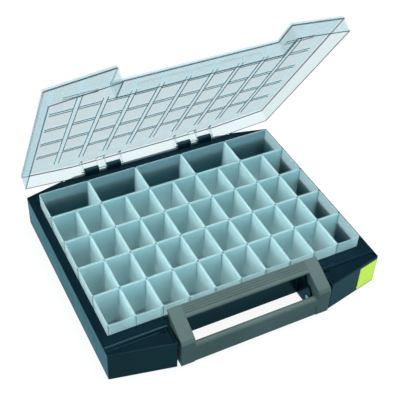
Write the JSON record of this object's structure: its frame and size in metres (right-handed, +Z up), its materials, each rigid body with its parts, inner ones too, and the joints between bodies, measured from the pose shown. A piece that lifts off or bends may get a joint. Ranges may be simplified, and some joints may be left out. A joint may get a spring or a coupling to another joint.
{
  "type": "compartment organizer box",
  "caption": "Flat carry case for small parts: dark tray, clear hinged lid, latching carrying handle at the front, and lift-out bins filling the tray.",
  "frame": {"origin": "middle of the tray's flat underside, on the surface it stands on", "axes": "+X to the right along the front, +Y from the handle to the hinge, +Z up"},
  "size_m": [0.417, 0.3795, 0.3657],
  "materials": {
    "tray_plastic": "fine grained moulded plastic, dark blue-green",
    "lid_plastic": "clear moulded plastic with a faint blue tint",
    "handle_plastic": "satin moulded plastic, grey-green",
    "bin_plastic": "milky moulded plastic",
    "label_plastic": "plain lime plastic",
    "pin_steel": "plain drawn steel"
  },
  "bodies": {
    "tray_body": {"tray": "tray_plastic", "label_plate": "label_plastic", "hinge_pin_left": "pin_steel", "hinge_pin_right": "pin_steel", "pivot_pin_left": "pin_steel", "pivot_pin_right": "pin_steel"},
    "lid_body": {"lid": "lid_plastic"},
    "handle_body": {"handle": "handle_plastic"},
    "bin_1_01_body": {"bin_1_01": "bin_plastic"},
    "bin_1_02_body": {"bin_1_02": "bin_plastic"},
    "bin_1_03_body": {"bin_1_03": "bin_plastic"},
    "bin_1_04_body": {"bin_1_04": "bin_plastic"},
    "bin_1_05_body": {"bin_1_05": "bin_plastic"},
    "bin_1_06_body": {"bin_1_06": "bin_plastic"},
    "bin_1_07_body": {"bin_1_07": "bin_plastic"},
    "bin_1_08_body": {"bin_1_08": "bin_plastic"},
    "bin_1_09_body": {"bin_1_09": "bin_plastic"},
    "bin_1_10_body": {"bin_1_10": "bin_plastic"},
    "bin_2_01_body": {"bin_2_01": "bin_plastic"},
    "bin_2_02_body": {"bin_2_02": "bin_plastic"},
    "bin_2_03_body": {"bin_2_03": "bin_plastic"},
    "bin_2_04_body": {"bin_2_04": "bin_plastic"},
    "bin_2_05_body": {"bin_2_05": "bin_plastic"},
    "bin_2_06_body": {"bin_2_06": "bin_plastic"},
    "bin_2_07_body": {"bin_2_07": "bin_plastic"},
    "bin_2_08_body": {"bin_2_08": "bin_plastic"},
    "bin_2_09_body": {"bin_2_09": "bin_plastic"},
    "bin_2_10_body": {"bin_2_10": "bin_plastic"},
    "bin_3_01_body": {"bin_3_01": "bin_plastic"},
    "bin_3_02_body": {"bin_3_02": "bin_plastic"},
    "bin_3_03_body": {"bin_3_03": "bin_plastic"},
    "bin_3_04_body": {"bin_3_04": "bin_plastic"},
    "bin_3_05_body": {"bin_3_05": "bin_plastic"},
    "bin_3_06_body": {"bin_3_06": "bin_plastic"},
    "bin_3_07_body": {"bin_3_07": "bin_plastic"},
    "bin_3_08_body": {"bin_3_08": "bin_plastic"},
    "bin_3_09_body": {"bin_3_09": "bin_plastic"},
    "bin_3_10_body": {"bin_3_10": "bin_plastic"},
    "bin_4_01_body": {"bin_4_01": "bin_plastic"},
    "bin_4_02_body": {"bin_4_02": "bin_plastic"},
    "bin_4_03_body": {"bin_4_03": "bin_plastic"},
    "bin_4_04_body": {"bin_4_04": "bin_plastic"},
    "bin_4_05_body": {"bin_4_05": "bin_plastic"},
    "bin_4_06_body": {"bin_4_06": "bin_plastic"},
    "bin_4_07_body": {"bin_4_07": "bin_plastic"},
    "bin_4_08_body": {"bin_4_08": "bin_plastic"},
    "bin_4_09_body": {"bin_4_09": "bin_plastic"},
    "bin_4_10_body": {"bin_4_10": "bin_plastic"},
    "wide_bin_1_body": {"wide_bin_1": "bin_plastic"},
    "wide_bin_2_body": {"wide_bin_2": "bin_plastic"},
    "wide_bin_3_body": {"wide_bin_3": "bin_plastic"},
    "wide_bin_4_body": {"wide_bin_4": "bin_plastic"},
    "wide_bin_5_body": {"wide_bin_5": "bin_plastic"}
  },
  "joints": [
    {"name": "lid_hinge", "type": "hinge", "parent": "tray_body", "child": "lid_body", "pos_m": [0, 0.17725, 0.056], "axis": [-1, 0, 0], "range_deg": [-57, 43]},
    {"name": "handle_swing", "type": "hinge", "parent": "tray_body", "child": "handle_body", "pos_m": [0, -0.16585, 0.0207], "axis": [1, 0, 0], "range_deg": [-5, 8.5]},
    {"name": "lift_1_01", "type": "slide", "parent": "tray_body", "child": "bin_1_01_body", "axis": [0, 0, 1], "range_m": [0, 0.075]},
    {"name": "lift_1_02", "type": "slide", "parent": "tray_body", "child": "bin_1_02_body", "axis": [0, 0, 1], "range_m": [0, 0.075]},
    {"name": "lift_1_03", "type": "slide", "parent": "tray_body", "child": "bin_1_03_body", "axis": [0, 0, 1], "range_m": [0, 0.075]},
    {"name": "lift_1_04", "type": "slide", "parent": "tray_body", "child": "bin_1_04_body", "axis": [0, 0, 1], "range_m": [0, 0.075]},
    {"name": "lift_1_05", "type": "slide", "parent": "tray_body", "child": "bin_1_05_body", "axis": [0, 0, 1], "range_m": [0, 0.075]},
    {"name": "lift_1_06", "type": "slide", "parent": "tray_body", "child": "bin_1_06_body", "axis": [0, 0, 1], "range_m": [0, 0.075]},
    {"name": "lift_1_07", "type": "slide", "parent": "tray_body", "child": "bin_1_07_body", "axis": [0, 0, 1], "range_m": [0, 0.075]},
    {"name": "lift_1_08", "type": "slide", "parent": "tray_body", "child": "bin_1_08_body", "axis": [0, 0, 1], "range_m": [0, 0.075]},
    {"name": "lift_1_09", "type": "slide", "parent": "tray_body", "child": "bin_1_09_body", "axis": [0, 0, 1], "range_m": [0, 0.075]},
    {"name": "lift_1_10", "type": "slide", "parent": "tray_body", "child": "bin_1_10_body", "axis": [0, 0, 1], "range_m": [0, 0.075]},
    {"name": "lift_2_01", "type": "slide", "parent": "tray_body", "child": "bin_2_01_body", "axis": [0, 0, 1], "range_m": [0, 0.075]},
    {"name": "lift_2_02", "type": "slide", "parent": "tray_body", "child": "bin_2_02_body", "axis": [0, 0, 1], "range_m": [0, 0.075]},
    {"name": "lift_2_03", "type": "slide", "parent": "tray_body", "child": "bin_2_03_body", "axis": [0, 0, 1], "range_m": [0, 0.075]},
    {"name": "lift_2_04", "type": "slide", "parent": "tray_body", "child": "bin_2_04_body", "axis": [0, 0, 1], "range_m": [0, 0.075]},
    {"name": "lift_2_05", "type": "slide", "parent": "tray_body", "child": "bin_2_05_body", "axis": [0, 0, 1], "range_m": [0, 0.075]},
    {"name": "lift_2_06", "type": "slide", "parent": "tray_body", "child": "bin_2_06_body", "axis": [0, 0, 1], "range_m": [0, 0.075]},
    {"name": "lift_2_07", "type": "slide", "parent": "tray_body", "child": "bin_2_07_body", "axis": [0, 0, 1], "range_m": [0, 0.075]},
    {"name": "lift_2_08", "type": "slide", "parent": "tray_body", "child": "bin_2_08_body", "axis": [0, 0, 1], "range_m": [0, 0.075]},
    {"name": "lift_2_09", "type": "slide", "parent": "tray_body", "child": "bin_2_09_body", "axis": [0, 0, 1], "range_m": [0, 0.075]},
    {"name": "lift_2_10", "type": "slide", "parent": "tray_body", "child": "bin_2_10_body", "axis": [0, 0, 1], "range_m": [0, 0.075]},
    {"name": "lift_3_01", "type": "slide", "parent": "tray_body", "child": "bin_3_01_body", "axis": [0, 0, 1], "range_m": [0, 0.075]},
    {"name": "lift_3_02", "type": "slide", "parent": "tray_body", "child": "bin_3_02_body", "axis": [0, 0, 1], "range_m": [0, 0.075]},
    {"name": "lift_3_03", "type": "slide", "parent": "tray_body", "child": "bin_3_03_body", "axis": [0, 0, 1], "range_m": [0, 0.075]},
    {"name": "lift_3_04", "type": "slide", "parent": "tray_body", "child": "bin_3_04_body", "axis": [0, 0, 1], "range_m": [0, 0.075]},
    {"name": "lift_3_05", "type": "slide", "parent": "tray_body", "child": "bin_3_05_body", "axis": [0, 0, 1], "range_m": [0, 0.075]},
    {"name": "lift_3_06", "type": "slide", "parent": "tray_body", "child": "bin_3_06_body", "axis": [0, 0, 1], "range_m": [0, 0.075]},
    {"name": "lift_3_07", "type": "slide", "parent": "tray_body", "child": "bin_3_07_body", "axis": [0, 0, 1], "range_m": [0, 0.075]},
    {"name": "lift_3_08", "type": "slide", "parent": "tray_body", "child": "bin_3_08_body", "axis": [0, 0, 1], "range_m": [0, 0.075]},
    {"name": "lift_3_09", "type": "slide", "parent": "tray_body", "child": "bin_3_09_body", "axis": [0, 0, 1], "range_m": [0, 0.075]},
    {"name": "lift_3_10", "type": "slide", "parent": "tray_body", "child": "bin_3_10_body", "axis": [0, 0, 1], "range_m": [0, 0.075]},
    {"name": "lift_4_01", "type": "slide", "parent": "tray_body", "child": "bin_4_01_body", "axis": [0, 0, 1], "range_m": [0, 0.075]},
    {"name": "lift_4_02", "type": "slide", "parent": "tray_body", "child": "bin_4_02_body", "axis": [0, 0, 1], "range_m": [0, 0.075]},
    {"name": "lift_4_03", "type": "slide", "parent": "tray_body", "child": "bin_4_03_body", "axis": [0, 0, 1], "range_m": [0, 0.075]},
    {"name": "lift_4_04", "type": "slide", "parent": "tray_body", "child": "bin_4_04_body", "axis": [0, 0, 1], "range_m": [0, 0.075]},
    {"name": "lift_4_05", "type": "slide", "parent": "tray_body", "child": "bin_4_05_body", "axis": [0, 0, 1], "range_m": [0, 0.075]},
    {"name": "lift_4_06", "type": "slide", "parent": "tray_body", "child": "bin_4_06_body", "axis": [0, 0, 1], "range_m": [0, 0.075]},
    {"name": "lift_4_07", "type": "slide", "parent": "tray_body", "child": "bin_4_07_body", "axis": [0, 0, 1], "range_m": [0, 0.075]},
    {"name": "lift_4_08", "type": "slide", "parent": "tray_body", "child": "bin_4_08_body", "axis": [0, 0, 1], "range_m": [0, 0.075]},
    {"name": "lift_4_09", "type": "slide", "parent": "tray_body", "child": "bin_4_09_body", "axis": [0, 0, 1], "range_m": [0, 0.075]},
    {"name": "lift_4_10", "type": "slide", "parent": "tray_body", "child": "bin_4_10_body", "axis": [0, 0, 1], "range_m": [0, 0.075]},
    {"name": "lift_wide_1", "type": "slide", "parent": "tray_body", "child": "wide_bin_1_body", "axis": [0, 0, 1], "range_m": [0, 0.065]},
    {"name": "lift_wide_2", "type": "slide", "parent": "tray_body", "child": "wide_bin_2_body", "axis": [0, 0, 1], "range_m": [0, 0.065]},
    {"name": "lift_wide_3", "type": "slide", "parent": "tray_body", "child": "wide_bin_3_body", "axis": [0, 0, 1], "range_m": [0, 0.065]},
    {"name": "lift_wide_4", "type": "slide", "parent": "tray_body", "child": "wide_bin_4_body", "axis": [0, 0, 1], "range_m": [0, 0.065]},
    {"name": "lift_wide_5", "type": "slide", "parent": "tray_body", "child": "wide_bin_5_body", "axis": [0, 0, 1], "range_m": [0, 0.065]}
  ]
}
